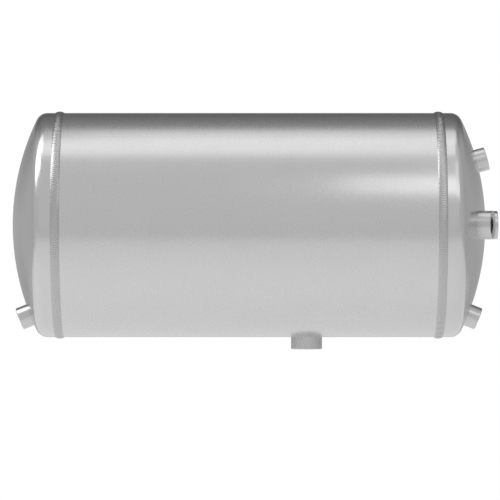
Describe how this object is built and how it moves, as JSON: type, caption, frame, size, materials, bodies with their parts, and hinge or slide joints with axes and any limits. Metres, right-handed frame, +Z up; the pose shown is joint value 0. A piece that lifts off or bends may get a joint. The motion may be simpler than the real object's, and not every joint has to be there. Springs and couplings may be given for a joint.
{
  "type": "horizontal compressed air tank",
  "caption": "Horizontal cylindrical compressed-air tank in welded aluminium, with shallow dished heads, raised girth welds and short threaded bosses on the right end, underside and left end.",
  "frame": {"origin": "on the tank's axis, midway between the middles of the two girth welds", "axes": "+X along the axis towards the end with the group of ports, +Z up, -Y the front"},
  "size_m": [0.6699, 0.3142, 0.3285],
  "materials": {
    "shell": "satin rolled sheet",
    "heads": "smooth pressed sheet",
    "welds": "as-laid weld bead",
    "bosses": "fine turned"
  },
  "bodies": {
    "root": {"shell": "shell", "shell_seam_weld": "welds", "left_girth_weld": "welds", "right_girth_weld": "welds", "left_head": "heads", "right_head": "heads", "bottom_boss": "bosses", "bottom_boss_weld": "welds", "left_drain_boss": "bosses", "left_drain_boss_weld": "welds", "right_drain_boss": "bosses", "right_drain_boss_weld": "welds", "right_top_boss": "bosses", "right_top_boss_weld": "welds", "right_centre_boss": "bosses", "right_centre_boss_weld": "welds", "right_front_boss": "bosses", "right_front_boss_weld": "welds", "right_rear_boss": "bosses", "right_rear_boss_weld": "welds"}
  },
  "joints": []
}
